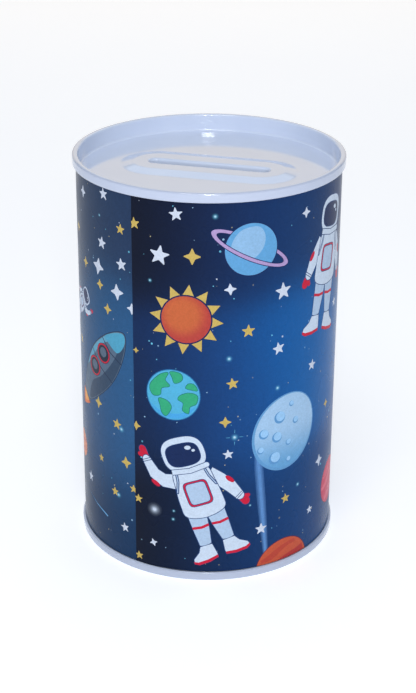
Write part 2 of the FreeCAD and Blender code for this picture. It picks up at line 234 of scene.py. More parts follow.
def adhesive(name):
    """Clear tacky strip, a little yellow, its tone varying with its lumps."""
    return soft_filler(name, 420.0, paint(214, 208, 180), paint(232, 228, 210), 0.25, 0.5, 0.3)


def printed_film(name):
    """Print under a glossy film: the inks from the mesh, a fine print screen, and soft handling marks."""
    made = Nodes(name)
    inks = made.add("Attribute")
    inks.attribute_name = "ink"
    screen = made.spread(made.cells(1500.0), 0.0, 0.8, 0.93, 1.05)
    mottle = made.spread(made.noise(650.0, 3.0, 0.7), 0.3, 0.7, 0.94, 1.05)
    fleck = made.maths("MULTIPLY", screen, mottle)
    grain = made.add("CombineColor", red=fleck, green=fleck, blue=fleck)
    colour = made.blend(1.0, inks.outputs["Color"], grain.outputs["Color"], "MULTIPLY")
    rough = made.spread(made.noise(90.0, 1.5, 0.5), 0.1, 0.9, 0.2, 0.36)
    ripple = made.bump(made.noise(60.0, 2.0, 0.5, made.stretched((1.0, 1.0, 0.4))), 0.06, 0.2 * MM)
    skin = made.bump(made.noise(1100.0, 2.0), 0.02, 0.02 * MM, ripple)
    made.set(base_color=colour, roughness=rough, normal=skin, ior=1.5, specular_ior_level=0.08)
    return made.material


# ---- mesh helpers ----

def new_object(name, points, faces, material, normals=None):
    mesh = bpy.data.meshes.new(name)
    mesh.from_pydata(points, [], faces)
    mesh.materials.append(material)
    mesh.polygons.foreach_set("use_smooth", [True] * len(mesh.polygons))
    mesh.update()
    if normals is not None:
        mesh.normals_split_custom_set_from_vertices(normals)
    made = bpy.data.objects.new(name, mesh)
    bpy.context.scene.collection.objects.link(made)
    return made


# One place on the middle line of bent tin: its distance out, its depth in from the rim, the line's
# heading there, and the kind of ring that it is carried round.
Spot = namedtuple("Spot", "out depth heading family")


def bent_sheet(out, depth, heading, moves):
    """Follows ("run", length, family) and ("bend", radius, degrees, family) moves, left turns positive."""
    line = [Spot(out, depth, heading, moves[0][-1])]
    for move in moves:
        family = move[-1]
        if move[0] == "run":
            out += cos(heading) * move[1]
            depth += sin(heading) * move[1]
            line.append(Spot(out, depth, heading, family))
            continue
        turn = radians(move[2])
        side = math.copysign(pi / 2.0, turn)
        centre_out = out + cos(heading + side) * move[1]
        centre_depth = depth + sin(heading + side) * move[1]
        steps = max(3, round(ROUND_STEPS * abs(move[2]) / 90.0))
        for step in range(1, steps + 1):
            tilt = heading + turn * step / steps
            line.append(Spot(centre_out + cos(tilt - side) * move[1],
                             centre_depth + sin(tilt - side) * move[1], tilt, family))
        heading += turn
        out, depth = line[-1].out, line[-1].depth
    return line


class RoundRings:
    """Circles about the can's axis."""

    def __init__(self, count):
        self.turns = [tau * index / count for index in range(count)]

    def turn(self, spot, index):
        return self.turns[index]

    def shift(self, spot, index):
        return 0.0

    def outward(self, spot, index):
        turn = self.turn(spot, index)
        return Vector((cos(turn), sin(turn), 0.0))

    def point(self, spot, index, offset_out):
        turn = self.turn(spot, index)
        reach = spot.out + offset_out
        return Vector((self.shift(spot, index) + cos(turn) * reach, sin(turn) * reach, 0.0))


class SlotRings(RoundRings):
    """Circles about the axis far out, and round-ended rings about the slot further in.

    A spot's family is "circle", or the half length of the straight part of its round-ended ring.
    """

    ARC_STEPS = 48
    STRAIGHT_STEPS = 96

    def __init__(self, foot_straight, foot_half_width):
        self.places = []
        for side in (0, 1):
            for step in range(self.ARC_STEPS):
                turn = -pi / 2.0 + pi * (side + step / self.ARC_STEPS)
                self.places.append((turn, 1.0 - 2.0 * side))
            for step in range(self.STRAIGHT_STEPS):
                share = 1.0 - 2.0 * step / self.STRAIGHT_STEPS
                self.places.append((pi / 2.0 + pi * side, share * (1.0 - 2.0 * side)))
        self.turns = []
        for turn, share in self.places:
            across = sin(turn) * foot_half_width
            along = share * foot_straight + cos(turn) * foot_half_width
            self.turns.append(math.atan2(across, along))

    def turn(self, spot, index):
        return self.turns[index] if spot.family == "circle" else self.places[index][0]

    def shift(self, spot, index):
        return 0.0 if spot.family == "circle" else self.places[index][1] * spot.family


def sheet_solid(name, line, rings, rim_height, inward, material, capped=False):
    """A closed solid of tin: both faces of a bent line, carried round rings.

    Inward is the sign of Z from the rim towards the inside of the can. A capped solid is filled inside
    its last ring.
    """
    count = len(rings.turns)
    points = []
    normals = []
    for side in (1.0, -1.0):
        for spot in line:
            normal_out = -sin(spot.heading) * side
            normal_depth = cos(spot.heading) * side
            for index in range(count):
                place = rings.point(spot, index, normal_out * TIN / 2.0)
                place.z = rim_height + inward * (spot.depth + normal_depth * TIN / 2.0)
                points.append(place)
                normal = rings.outward(spot, index) * normal_out
                normal.z = inward * normal_depth
                normals.append(normal.normalized())
    rows = len(line)
    faces = []
    for side in (0, 1):
        for row in range(rows - 1):
            for index in range(count):
                following = (index + 1) % count
                low = (side * rows + row) * count
                face = (low + index, low + following, low + count + following, low + count + index)
                faces.append(face if (side == 0) == (inward < 0.0) else face[::-1])
    if capped:
        for side in (0, 1):
            start = (side * rows + rows - 1) * count
            cap = tuple(range(start, start + count))
            faces.append(cap if (side == 0) == (inward < 0.0) else cap[::-1])
    for row, first_side in ((0, 1), (rows - 1, 0)):
        if capped and row > 0:
            continue
        near = (first_side * rows + row) * count
        far = ((1 - first_side) * rows + row) * count
        for index in range(count):
            following = (index + 1) % count
            face = (near + index, near + following, far + following, far + index)
            faces.append(face if inward < 0.0 else face[::-1])
    return new_object(name, points, faces, material, normals)


# ---- the two tin ends ----

CHUCK_WALL = 48.8 * MM       # middle of an end's inner wall
RIM_BEND = 0.6 * MM
HOOK_TIP_TOP = 1.25 * MM     # rim to the tip of the end's folded hook
HOOK_TIP_BASE = 1.15 * MM
WRAP_EDGE_GAP = 0.12 * MM    # wrap edge to the seam next to it
WALL_LEAN = 3.0              # degrees the recess wall leans in below the seam
PANEL_MARGIN = 1.5 * MM      # flat round the lid's panel before the rings turn long
BEAD_TURN = 45.0             # half the turn of each bead in the base
BASE_CAP = 2.0 * MM          # radius of the flat middle that closes the base
BASE_STEPS = 288             # facets round the base


def seam_moves(outer_wall, fold, seam_height, hook_tip):
    """The seamed edge of an end, from the tip of its hook, over the rim and on to the inner wall."""
    fold_height = seam_height - TIN / 2.0 - fold
    return [
        ("run", fold_height - hook_tip, "circle"),
        ("bend", fold, -180.0, "circle"),
        ("run", fold_height - RIM_BEND - TIN / 2.0, "circle"),
        ("bend", RIM_BEND, -90.0, "circle"),
        ("run", outer_wall - CHUCK_WALL - RIM_BEND * 2.0, "circle"),
        ("bend", RIM_BEND, -90.0, "circle"),
    ]


def make_lid(material):
    """The slotted end: seam, recess wall, flat panel, raised pad, and the slot's lips turned down."""
    seam_height = CAN_HEIGHT - WRAP_HIGH.z - WRAP_EDGE_GAP
    outer_wall = LID_RADIUS - TIN / 2.0
    fold = 0.5 * MM
    panel = 6.65 * MM + TIN / 2.0
    lean_bend, corner = 6.0 * MM, 0.95 * MM
    pad_straight, pad_half_width = 19.5 * MM, 14.5 * MM
    pad_lean, pad_rise = 5.0 * MM, 0.9 * MM
    slot_straight, slot_half_width = 20.5 * MM, 2.5 * MM
    foot, brow, lip = 8.15 * MM, 5.85 * MM, 0.95 * MM
    lean = radians(WALL_LEAN)
    slope = math.atan2(pad_rise, pad_lean)
    foot_tangent = foot * math.tan(slope / 2.0)
    brow_tangent = brow * math.tan(slope / 2.0)
    drop = panel - seam_height - TIN / 2.0
    wall = (drop - lean_bend * sin(lean) - corner * (1.0 - sin(lean))) / cos(lean)
    panel_out = CHUCK_WALL - lean_bend * (1.0 - cos(lean)) - wall * sin(lean)
    panel_out -= corner * cos(lean)
    flat_out = panel_out - PANEL_MARGIN
    lip_out = slot_half_width + TIN / 2.0
    lip_fall = CAN_HEIGHT - LID_LOW.z - (panel - pad_rise) - lip
    moves = seam_moves(outer_wall, fold, seam_height, HOOK_TIP_TOP)
    moves += [
        ("run", seam_height - RIM_BEND, "circle"),
        ("bend", lean_bend, WALL_LEAN, "circle"),
        ("run", wall, "circle"),
        ("bend", corner, 90.0 - WALL_LEAN, "circle"),
        ("run", panel_out - flat_out, "circle"),
        ("run", flat_out - pad_half_width - foot_tangent, pad_straight),
        ("bend", foot, math.degrees(slope), pad_straight),
        ("run", math.hypot(pad_lean, pad_rise) - foot_tangent - brow_tangent, pad_straight),
        ("bend", brow, -math.degrees(slope), pad_straight),
        ("run", pad_half_width - pad_lean - brow_tangent - lip_out - lip, slot_straight),
        ("bend", lip, -90.0, slot_straight),
        ("run", lip_fall, slot_straight),
    ]
    line = bent_sheet(outer_wall - fold * 2.0, HOOK_TIP_TOP, pi / 2.0, moves)
    rings = SlotRings(pad_straight, pad_half_width)
    lid = sheet_solid("slotted_lid", line, rings, CAN_HEIGHT, -1.0, material)
    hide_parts("top_end")
    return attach(lid, "root")


def make_base(material):
    """The plain end that the box stands on, with its countersink and two round beads."""
    seam_height = WRAP_LOW.z - WRAP_EDGE_GAP
    outer_wall = BASE_RADIUS - TIN / 2.0
    fold = 0.4 * MM
    panel = 5.2 * MM + TIN / 2.0
    corner = 1.4 * MM
    bead = 1.8 * MM
    margin, spacing = 6.0 * MM, 12.0 * MM
    bead_reach = bead * 4.0 * sin(radians(BEAD_TURN))
    one_bead = [("bend", bead, turn, "circle") for turn in (-BEAD_TURN, BEAD_TURN * 2.0, -BEAD_TURN)]
    middle = CHUCK_WALL - corner - margin - spacing - bead_reach * 2.0
    moves = seam_moves(outer_wall, fold, seam_height, HOOK_TIP_BASE)
    moves += [("run", panel - corner - RIM_BEND - TIN / 2.0, "circle"), ("bend", corner, 90.0, "circle")]
    moves += [("run", margin, "circle")] + one_bead + [("run", spacing, "circle")] + one_bead
    moves.append(("run", middle - BASE_CAP, "circle"))
    line = bent_sheet(outer_wall - fold * 2.0, HOOK_TIP_BASE, pi / 2.0, moves)
    base = sheet_solid("seamed_base", line, RoundRings(BASE_STEPS), 0.0, 1.0, material, True)
    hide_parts("bottom_end")
    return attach(base, "root")


# ---- the picture, laid out flat ----

WRAP_RADIUS = WRAP_HIGH.x  # outer face of the wrap where it is one layer thick
MM_PER_DEGREE = radians(WRAP_RADIUS / MM)
FOOT = WRAP_LOW.z / MM
HEAD = WRAP_HIGH.z / MM
LAP_DEGREES = 9.4          # how much of the wrap lies on its own far edge
LAP_CLEAR = 1.0            # how far past that edge it starts to step down
JOGGLE_DEGREES = 4.9       # the stretch in which it steps down
WRAP_START = -33.0         # the lapped edge that shows, in degrees from the picture's middle
WRAP_END = WRAP_START + 360.0 + LAP_DEGREES
WRAP_THICKNESS = 0.16
LAP_RISE = 0.22

WHITE = paint(198, 206, 222)
GOLD = paint(194, 168, 92)
NAVY_LINE = paint(26, 38, 84)
CYAN = paint(112, 200, 230)
RED = paint(196, 32, 60)
SUIT = paint(196, 210, 228)
SHADE_SUIT = paint(170, 192, 218)
VISOR = paint(24, 42, 84)
PAPER = paint(235, 235, 232)
STAR_WAIST = 0.5           # a star's inner reach over its outer one
DUST_COUNT = 420

# The printed sky: degrees, height, and the red, green and blue there.
SKY_PAINTS = (
    (-30, 145, 12, 16, 28), (-30, 75, 18, 34, 64), (-30, 12, 14, 18, 32), (-10, 145, 14, 24, 48),
    (-8, 85, 18, 46, 92), (-10, 12, 12, 24, 46), (12, 145, 16, 40, 84), (12, 80, 24, 70, 130),
    (10, 12, 18, 46, 88), (35, 145, 20, 56, 106), (38, 88, 18, 88, 156), (32, 15, 16, 58, 112),
    (60, 145, 24, 56, 98), (62, 85, 24, 100, 164), (60, 20, 16, 66, 118), (100, 130, 24, 50, 98),
    (105, 50, 26, 76, 140), (150, 130, 18, 30, 60), (150, 40, 20, 54, 104), (205, 120, 26, 66, 124),
    (205, 30, 18, 32, 64), (250, 130, 22, 38, 74), (250, 50, 28, 76, 134), (300, 140, 38, 60, 88),
    (300, 90, 36, 80, 120), (300, 52, 38, 76, 116), (300, 20, 18, 48, 80), (324, 140, 36, 54, 86),
    (324, 85, 44, 90, 136), (324, 52, 46, 90, 136), (324, 15, 22, 52, 88),
)
SKY = [(degrees, height, paint(*colour)) for degrees, height, *colour in SKY_PAINTS]
SKY_REACH = 16.0           # millimetres over which one colour gives way to the next

CREASE_TOP = 58.0          # height of the crease's upper end
CREASE_TURN = 21.5         # degrees to that end
CREASE_LEAN = 0.11         # degrees it moves to the right for each millimetre down


def crease_middle(height):
    """Where the film's one crease runs, in degrees."""
    return CREASE_TURN + (CREASE_TOP - height) * CREASE_LEAN


def flat(degrees, height):
    """A place on the sheet in millimetres, across from the picture's middle and up from the base."""
    return (degrees * MM_PER_DEGREE, height)


def sky(x, y):
    total = 0.0
    red = green = blue = 0.0
    cloud = noise.noise(Vector((x * 0.03, y * 0.03, 4.0))) * 6.0
    for degrees, height, colour in SKY:
        across, up = flat(degrees, height)
        far = ((x - across) ** 2 + (y - up + cloud) ** 2) / (SKY_REACH * SKY_REACH)
        weight = math.exp(-far * 0.5) + 1e-4 / (1.0 + far)
        total += weight
        red += colour[0] * weight
        green += colour[1] * weight
        blue += colour[2] * weight
    return (red / total, green / total, blue / total)


class Picture:
    """Flat shapes in painting order, each with an ink: a colour, or a colour worked out from the place."""

    def __init__(self):
        self.outlines = []
        self.inks = []

    def shape(self, outline, ink):
        self.outlines.append(outline if signed_area(outline) > 0.0 else outline[::-1])
        self.inks.append(ink)

    def line(self, outline, ink, width, line_ink=NAVY_LINE):
        """A shape with a drawn outline round it."""
        self.shape(grown(outline, width), line_ink)
        self.shape(outline, ink)


def soft_box(x, y, across, up, tilt=0.0, squareness=4.0, steps=40):
    """A box with fully rounded corners."""
    outline = []
    for step in range(steps):
        angle = tau * step / steps
        dx = math.copysign(abs(cos(angle)) ** (2.0 / squareness), cos(angle)) * across
        dy = math.copysign(abs(sin(angle)) ** (2.0 / squareness), sin(angle)) * up
        outline.append((dx, dy))
    return moved(outline, x, y, 1.0, tilt)


def oval(x, y, across, up, tilt=0.0, steps=40):
    return soft_box(x, y, across, up, tilt, 2.0, steps)


def disc(x, y, radius, steps=40):
    return oval(x, y, radius, radius, 0.0, steps)


def closed_curve(corners, steps=6):
    """A smooth closed curve through a few corners."""
    points = []
    count = len(corners)
    for index in range(count):
        before, here, after, later = (corners[(index + shift) % count] for shift in (-1, 0, 1, 2))
        for step in range(steps):
            along = step / steps
            points.append(tuple(
                0.5 * (2 * b + (c - a) * along + (2 * a - 5 * b + 4 * c - d) * along * along
                       + (3 * b - a - 3 * c + d) * along ** 3)
                for a, b, c, d in zip(before, here, after, later)))
    return points


def limb(places, widths, steps=8):
    """A rounded band through two or more places, with a width at each."""
    left = []
    right = []
    for index, (x, y) in enumerate(places):
        before = places[max(0, index - 1)]
        after = places[min(len(places) - 1, index + 1)]
        heading = math.atan2(after[1] - before[1], after[0] - before[0])
        half = widths[index] / 2.0
        left.append((x - sin(heading) * half, y + cos(heading) * half))
        right.append((x + sin(heading) * half, y - cos(heading) * half))
    heading = math.atan2(places[-1][1] - places[-2][1], places[-1][0] - places[-2][0])
    half = widths[-1] / 2.0
    cap = []
    for step in range(1, steps):
        angle = heading + pi / 2.0 - pi * step / steps
        cap.append(polar(*places[-1], angle, half))
    return left + cap + right[::-1]


def signed_area(outline):
    return 0.5 * sum(a[0] * b[1] - b[0] * a[1] for a, b in zip(outline, outline[1:] + outline[:1]))


def grown(outline, width):
    """The outline moved out by a width all round."""
    sign = 1.0 if signed_area(outline) > 0.0 else -1.0
    points = []
    count = len(outline)
    for index, (x, y) in enumerate(outline):
        before = outline[index - 1]
        after = outline[(index + 1) % count]
        along = Vector((after[0] - before[0], after[1] - before[1]))
        if along.length < 1e-6:
            continue
        along.normalize()
        points.append((x + along.y * width * sign, y - along.x * width * sign))
    return points


def moved(outline, x, y, size=1.0, tilt=0.0):
    """The outline turned, scaled and carried to a place."""
    along = cos(radians(tilt)) * size
    rise = sin(radians(tilt)) * size
    return [(x + px * along - py * rise, y + px * rise + py * along) for px, py in outline]


def polar(x, y, angle, reach):
    return (x + cos(angle) * reach, y + sin(angle) * reach)


def mirrored(outline, side):
    """The outline itself for side 1, or its mirror image for side -1."""
    return [(px * side, py) for px, py in outline]


def star(x, y, radius, points, tilt):
    """A star with slightly blunt tips."""
    outline = []
    for index in range(points * 2):
        angle = radians(90.0 + tilt) + pi * index / points
        reach = radius if index % 2 == 0 else radius * STAR_WAIST
        spread = 0.05 if index % 2 == 0 else 0.1
        outline += [polar(x, y, angle + turn, reach) for turn in (-spread, spread)]
    return outline


def glow(picture, x, y, radius, colour):
    """A soft spot of light that fades into the sky."""
    def ink(px, py):
        near = max(0.0, 1.0 - math.hypot(px - x, py - y) / radius)
        halo = mix(sky(px, py), colour, near ** 2.2)
        return mix(halo, mix(colour, WHITE, 0.7), smooth_step(near, 0.65, 0.9))
    for share in (1.0, 0.72, 0.48, 0.3, 0.16):
        picture.shape(disc(x, y, radius * share, 16), ink)


def flare(picture, x, y, radius, colour):
    """A glow with four thin rays."""
    for tilt in (0.0, 90.0):
        picture.shape(oval(x, y, radius * 1.3, radius * 0.06, tilt, 16), mix(sky(x, y), colour, 0.5))
    glow(picture, x, y, radius * 0.7, colour)


def sun(picture, x, y, radius):
    rays = 12
    for index in range(rays):
        angle = tau * (index + 0.83) / rays
        wide = pi / rays * 1.14
        ray = [polar(x, y, angle + turn, radius * reach)
               for turn, reach in ((-wide, 0.96), (0.0, 1.5), (wide, 0.96))]
        picture.line(ray, GOLD, 0.22)

    def ember(px, py):
        far = math.hypot(px - x + radius * 0.15, py - y - radius * 0.2) / radius
        return mix(paint(192, 98, 60), paint(176, 66, 60), smooth_step(far, 0.5, 1.1))
    picture.shape(disc(x, y, radius * 1.06, 56), NAVY_LINE)
    for share in (1.0, 0.75, 0.5, 0.25):
        picture.shape(disc(x, y, radius * share, 56 if share == 1.0 else 28), ember)
    picture.shape(oval(x - radius * 0.1, y + radius * 0.12, radius * 0.62, radius * 0.6, 0.0, 30), ember)


def ringed_planet(picture, x, y, radius, tilt, body, light, ring):
    """A ball with a bright side and a tilted ring that passes behind and in front of it."""
    def band(first, last, reach, width):
        outer = []
        inner = []
        steps = 36
        for step in range(steps + 1):
            angle = radians(first + (last - first) * step / steps)
            outer.append((cos(angle) * (reach + width), sin(angle) * (reach + width) * 0.25))
            inner.append((cos(angle) * (reach - width), sin(angle) * (reach - width) * 0.2))
        return moved(outer + inner[::-1], x, y, 1.0, tilt)
    reach = radius * 1.56
    width = radius * 0.1
    picture.line(band(0.0, 180.0, reach, width), ring, 0.28)
    picture.line(disc(x, y, radius, 56), body, 0.3)
    picture.shape(moved(closed_curve([
        (-0.78, 0.1), (-0.45, 0.72), (0.2, 0.86), (0.5, 0.55), (0.46, 0.05), (0.1, -0.34), (-0.4, -0.3),
    ]), x, y, radius), light)
    picture.line(band(178.0, 362.0, reach, width), ring, 0.28)
    for turn in (178.0, 362.0):
        picture.shape(band(turn - 5.0, turn + 5.0, reach, width), ring)


def moon(picture, x, y, across, up, tilt):
    """A pale cratered ball, slightly drawn out."""
    def ground(px, py):
        low = (py - y) / up
        return mix(paint(98, 156, 202), paint(158, 191, 222), smooth_step(low, -0.95, 0.3))
    picture.shape(oval(x, y, across, up, tilt, 64), paint(96, 150, 198))
    for share in (0.95, 0.66, 0.33):
        picture.shape(oval(x + across * 0.02, y + up * 0.02, across * share, up * share, tilt, 48), ground)
    craters = (
        (-0.37, 0.31, 0.17), (-0.14, 0.69, 0.08), (-0.66, -0.17, 0.14), (0.2, 0.31, 0.1),
        (-0.23, -0.18, 0.15), (-0.57, -0.58, 0.1), (0.2, -0.25, 0.09), (-0.06, -0.7, 0.18),
        (0.4, -0.67, 0.08),
    )
    for cx, cy, share in craters:
        place = moved([(cx * across, cy * up)], x, y, 1.0, tilt)[0]
        size = share * across
        picture.shape(disc(*place, size, 24), paint(92, 146, 196))
        floor = disc(place[0] + size * 0.14, place[1] + size * 0.16, size * 0.8, 24)
        picture.shape(floor, paint(148, 192, 230))


def globe(picture, x, y, radius):
    """A blue ball with made-up green lands."""
    picture.line(disc(x, y, radius, 56), paint(80, 170, 208), 0.35, paint(40, 104, 160))
    picture.shape(moved(closed_curve([
        (-0.9, -0.4), (-0.4, -0.72), (0.3, -0.72), (0.86, -0.42), (0.5, -0.84), (0.0, -0.97), (-0.5, -0.84),
    ]), x, y, radius), paint(70, 158, 214))
    lands = (
        [(-0.86, 0.42), (-0.5, 0.8), (-0.18, 0.9), (-0.3, 0.6), (-0.12, 0.36), (-0.44, 0.24),
         (-0.5, -0.04), (-0.78, -0.1), (-0.92, 0.14)],
        [(-0.1, 0.96), (0.3, 0.92), (0.36, 0.66), (0.08, 0.5), (-0.02, 0.72)],
        [(-0.56, -0.2), (-0.24, -0.26), (-0.06, -0.52), (-0.26, -0.9), (-0.44, -0.78), (-0.5, -0.5)],
        [(0.3, 0.02), (0.62, 0.14), (0.94, 0.04), (0.9, -0.3), (0.66, -0.44), (0.6, -0.72), (0.38, -0.6),
         (0.4, -0.3), (0.2, -0.16)],
        [(0.6, 0.52), (0.82, 0.5), (0.94, 0.26), (0.7, 0.28), (0.5, 0.34)],
    )
    for land in lands:
        coast = moved(closed_curve(land, 5), x, y, radius * 0.97)
        picture.line(coast, paint(52, 162, 118), 0.18, paint(24, 84, 92))


def hot_planet(picture, x, y, radius, first, second):
    """A warm ball with soft bands across it."""
    picture.line(disc(x, y, radius, 56), first, 0.3, paint(90, 36, 60))
    for low, high, share in ((-0.62, -0.3, 0.55), (0.05, 0.3, 0.8), (0.55, 0.72, 0.45)):
        reach = math.sqrt(1.0 - max(low * low, high * high))
        places = [(step / 6.0 - 1.0) * reach * 0.97 for step in range(13)]
        band = [(across, low + 0.06 * sin(across * 5.0)) for across in places]
        band += [(-across, high + 0.05 * sin(1.0 - across * 4.0)) for across in places]
        picture.shape(moved(band, x, y, radius, 18.0), mix(first, second, share))


def rocket(picture, x, y, size, tilt):
    """A plump rocket, nose up before it is tilted, about two units tall."""
    def put(outline):
        return moved(outline, x, y, size, tilt)
    for reach, colour in ((1.0, paint(222, 110, 50)), (0.66, paint(236, 160, 70))):
        picture.shape(put(closed_curve([
            (-0.15 * reach, -0.88), (-0.17 * reach, -1.0), (0.0, -0.93 - 0.3 * reach),
            (0.17 * reach, -1.0), (0.15 * reach, -0.88)])), colour)
    picture.line(put([(-0.15, -0.84), (0.15, -0.84), (0.2, -0.96), (-0.2, -0.96)]), paint(64, 78, 98), 0.25)
    hull = [(0.0, 1.0), (0.17, 0.82), (0.31, 0.46), (0.37, 0.04), (0.31, -0.42), (0.14, -0.88),
            (-0.14, -0.88), (-0.31, -0.42), (-0.37, 0.04), (-0.31, 0.46), (-0.17, 0.82)]
    picture.line(put(closed_curve(hull)), paint(84, 104, 126), 0.3, paint(34, 48, 72))
    dark_side = [(0.0, 0.98), (0.16, 0.81), (0.3, 0.45), (0.36, 0.04), (0.3, -0.42), (0.13, -0.86),
                 (0.0, -0.5), (0.12, -0.1), (0.14, 0.45)]
    bright_side = [(-0.02, 0.97), (-0.17, 0.8), (-0.3, 0.45), (-0.36, 0.04), (-0.3, -0.4), (-0.27, 0.0),
                   (-0.22, 0.4), (-0.09, 0.7)]
    nose = [(0.0, 0.98), (0.13, 0.84), (0.12, 0.6), (-0.1, 0.56), (-0.26, 0.58), (-0.16, 0.8)]
    for corners, colour in ((dark_side, paint(52, 72, 96)), (bright_side, paint(96, 158, 186)),
                            (nose, paint(78, 156, 188))):
        picture.shape(put(closed_curve(corners)), colour)
    for height, reach in ((0.5, 0.3), (0.04, 0.37)):
        joint = limb(((-reach, height), (0.0, height - 0.05), (reach, height)), (0.02, 0.02, 0.02))
        picture.shape(put(joint), paint(34, 50, 76))
    for across, height in ((-0.1, 0.27), (-0.12, -0.16)):
        place = put([(across, height)])[0]
        picture.shape(disc(*place, size * 0.185, 32), paint(58, 30, 50))
        picture.shape(disc(*place, size * 0.175, 32), RED)
        picture.shape(disc(*place, size * 0.15, 32), paint(34, 44, 62))
        picture.shape(disc(place[0], place[1] + size * 0.02, size * 0.09, 24), paint(86, 102, 122))


def shooting_star(picture, x, y, length, tilt, colour):
    tail = [(0.0, 0.35), (-length * 0.5, 0.2), (-length, 0.0), (-length * 0.5, -0.2), (0.0, -0.35),
            (0.3, 0.0)]
    picture.shape(moved(tail, x, y, 1.0, tilt), mix(sky(x, y), colour, 0.6))
    picture.shape(moved(tail, x, y, 0.6, tilt), colour)


class SpaceSuit:
    """A cartoon suit with a blank dark visor, drawn upright about its chest, in millimetres."""

    LINE = 0.28
    INK = paint(40, 66, 116)
    TALLER = 1.12

    def __init__(self, picture, x, y, size, tilt):
        self.picture = picture
        self.spot = (x, y, size, tilt)

    def put(self, outline):
        return moved([(px, py * self.TALLER) for px, py in outline], *self.spot)

    def part(self, outline, ink):
        self.picture.line(self.put(outline), ink, self.LINE, self.INK)

    def mark(self, outline, ink):
        self.picture.shape(self.put(outline), ink)

    def mitt(self, wrist, tip):
        along = Vector((tip[0] - wrist[0], tip[1] - wrist[1])).normalized()
        thumb = (wrist[0] + along.x * 2.6 - along.y * 2.1, wrist[1] + along.y * 2.6 + along.x * 2.1)
        self.part(limb((wrist, tip), (2.8, 3.1)), RED)
        self.mark(limb(((wrist[0] + along.x, wrist[1] + along.y), thumb), (1.7, 1.5)), RED)

    def arm(self, side, joints):
        shoulder, elbow, wrist, tip = mirrored(joints, side)
        self.mitt(wrist, tip)
        bend = ((shoulder[0] + elbow[0] * 2.0) / 3.0, (shoulder[1] + elbow[1] * 2.0) / 3.0)
        rise = ((elbow[0] * 2.0 + wrist[0]) / 3.0, (elbow[1] * 2.0 + wrist[1]) / 3.0)
        self.part(limb((shoulder, bend, rise, wrist), (5.6, 5.0, 4.6, 3.4)), SUIT)
        patch = (elbow[0] + side * 1.5, elbow[1] - 1.0 if wrist[1] > shoulder[1] else elbow[1] + 0.7)
        lean = math.degrees(math.atan2(wrist[1] - shoulder[1], wrist[0] - shoulder[0]))
        self.mark(oval(*patch, 1.9, 0.85, lean, 24), RED)
        along = Vector((tip[0] - wrist[0], tip[1] - wrist[1])).normalized()
        cuff = [(wrist[0] + along.y * turn, wrist[1] - along.x * turn) for turn in (-1.6, 1.6)]
        self.part(limb(cuff, (0.5, 0.5)), SUIT)

    def leg(self, side):
        trouser = [(0.1, -6.4), (7.1, -6.4), (7.0, -12.0), (6.7, -18.6), (4.6, -19.1), (2.3, -18.6),
                   (1.0, -13.0), (0.3, -9.0)]
        stripe = [(0.7, -12.1), (3.6, -12.5), (7.1, -12.1), (7.1, -11.1), (3.6, -11.5), (0.6, -11.1)]
        boot = [(2.2, -19.1), (6.8, -19.1), (8.0, -21.2), (10.8, -23.2), (11.2, -24.8), (9.6, -25.6),
                (5.4, -25.4), (1.8, -24.6), (1.6, -23.2)]
        sole = [(1.6, -23.7), (5.6, -24.5), (9.6, -24.7), (11.3, -24.1), (11.2, -25.1), (9.6, -25.8),
                (5.4, -25.6), (1.6, -24.7)]
        self.part(mirrored(trouser, side), SHADE_SUIT)
        self.mark(mirrored(stripe, side), RED)
        self.part(mirrored(boot, side), SUIT)
        self.mark(mirrored(sole, side), RED)

    def body(self):
        self.part(closed_curve([(-6.4, 9.6), (0.0, 10.2), (6.4, 9.6), (7.6, 4.6), (8.2, -2.4), (7.3, -7.0),
                                (0.0, -8.6), (-7.3, -7.0), (-8.2, -2.4), (-7.6, 4.6)]), SUIT)
        for side in (-1.0, 1.0):
            strap = mirrored(((5.4, 9.8), (6.0, 6.4), (7.6, 2.6)), side)
            self.mark(limb(strap, (1.1, 1.1, 1.1)), self.INK)
            self.mark(limb(strap, (0.35, 0.35, 0.35)), SHADE_SUIT)
        self.part(soft_box(-0.2, 0.8, 4.6, 4.6, 0.0, 6.0), RED)
        self.part(soft_box(-0.2, 0.8, 3.8, 3.9, 0.0, 6.0), SHADE_SUIT)

    def helmet(self):
        self.part(soft_box(-0.3, 15.9, 8.2, 6.3, 0.0, 2.7), SUIT)
        self.part(soft_box(-0.5, 15.7, 6.4, 4.1, 0.0, 3.0), VISOR)
        self.mark(oval(2.2, 17.9, 1.2, 0.75, -10.0, 20), SUIT)
        self.mark(oval(3.9, 16.5, 0.65, 0.5, 0.0, 16), SUIT)
        self.part(limb(((-6.9, 10.2), (0.0, 9.5), (6.9, 10.2)), (1.7, 1.7, 1.7)), SUIT)

    def draw(self, *arms):
        self.leg(-1.0)
        self.leg(1.0)
        for side, joints in arms:
            self.arm(side, joints)
        self.body()
        self.helmet()


# Arms of a suit's right side: shoulder, elbow, wrist and the mitt's tip.
RAISED_ARM = ((6.6, 6.6), (13.2, 8.6), (15.2, 16.2), (15.6, 20.0))
HELD_OUT_ARM = ((6.4, 6.6), (11.4, 1.6), (14.2, -4.8), (15.6, -7.8))
HANGING_ARM = ((6.2, 7.2), (10.2, 1.6), (12.4, -4.0), (13.8, -7.2))


def waving_suit(picture, x, y, size, tilt, raised=-1.0):
    """One arm up, on the side that has the sign of raised, and the other held out."""
    SpaceSuit(picture, x, y, size, tilt).draw((raised, RAISED_ARM), (-raised, HELD_OUT_ARM))


def standing_suit(picture, x, y, size, tilt):
    SpaceSuit(picture, x, y, size, tilt).draw((-1.0, HANGING_ARM), (1.0, HANGING_ARM))


